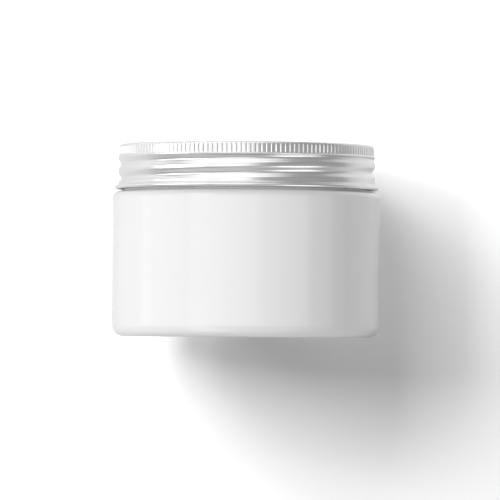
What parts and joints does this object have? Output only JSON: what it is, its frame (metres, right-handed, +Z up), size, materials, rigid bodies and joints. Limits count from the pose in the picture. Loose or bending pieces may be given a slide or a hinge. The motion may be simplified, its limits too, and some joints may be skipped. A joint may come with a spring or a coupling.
{
  "type": "cosmetic cream jar",
  "caption": "Low, wide plastic cream jar with a threaded neck and a screw-on rolled aluminium lid with a knurled grip, foam liner, sealing disc and cream.",
  "frame": {"origin": "centre of the standing ring, on the jar's axis, at the height of the surface it stands on", "axes": "+Z up along the axis of the jar and of its screw thread; X and Y are any two directions across it"},
  "size_m": [0.0948, 0.0946, 0.0679],
  "materials": {
    "white_plastic": "gloss",
    "lid_aluminium": "satin",
    "foam": "matte",
    "clear_plastic": "satin",
    "cream": "satin"
  },
  "bodies": {
    "jar": {"jar_body": "white_plastic", "cream_fill": "cream"},
    "lid_carrier": {"lid_liner": "foam"},
    "lid": {"lid_shell": "lid_aluminium"},
    "disc": {"sealing_disc": "clear_plastic"}
  },
  "joints": [
    {"name": "lid_rise", "type": "slide", "parent": "jar", "child": "lid_carrier", "axis": [0, 0, 1], "range_m": [0, 0.0254]},
    {"name": "lid_turn", "type": "hinge", "parent": "lid_carrier", "child": "lid", "pos_m": [0, 0, 0.06], "axis": [0, 0, 1], "range_deg": [0, 1800]},
    {"name": "disc_lift", "type": "slide", "parent": "jar", "child": "disc", "axis": [0, 0, 1], "range_m": [0, 0.0085]}
  ],
  "couplings": [
    {"joint": "lid_rise", "follows": "lid_turn", "m_per_rad": 0.00080851}
  ]
}
